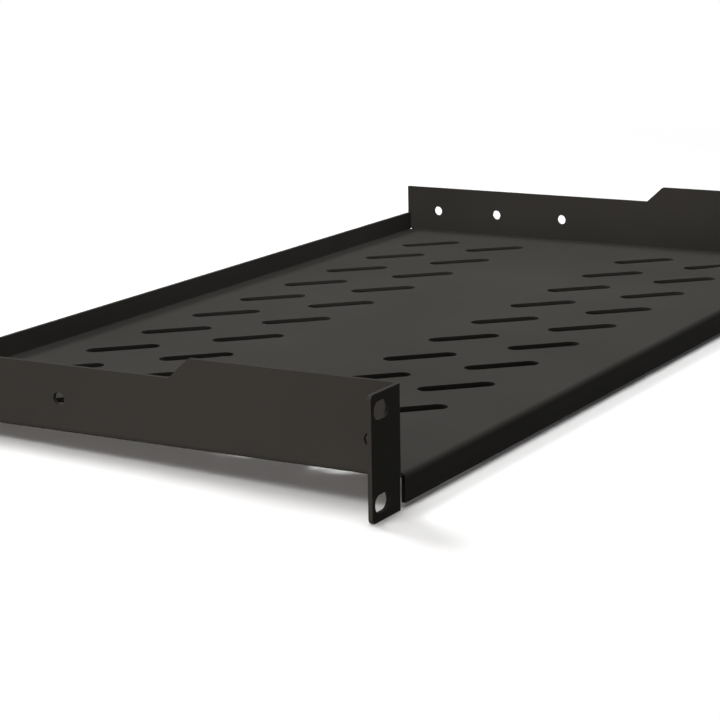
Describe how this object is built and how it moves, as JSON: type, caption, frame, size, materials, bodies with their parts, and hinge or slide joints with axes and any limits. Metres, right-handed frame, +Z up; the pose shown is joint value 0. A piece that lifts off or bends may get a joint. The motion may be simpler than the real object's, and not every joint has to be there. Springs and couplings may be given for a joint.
{
  "type": "cantilever rack shelf",
  "caption": "Folded steel shelf for a 19-inch rack: vented tray between low side walls, with slotted ears at the front that carry it from one pair of rails.",
  "frame": {"origin": "middle of the shelf's footprint, on the level of the bottom edges of the ears", "axes": "+X to the right of someone facing the rack, +Y into the rack, +Z up"},
  "size_m": [0.479, 0.235, 0.0437],
  "materials": {
    "powder_coat": "satin black powder coat with a fine texture"
  },
  "bodies": {
    "root": {"folded_shelf": "powder_coat"}
  },
  "joints": []
}
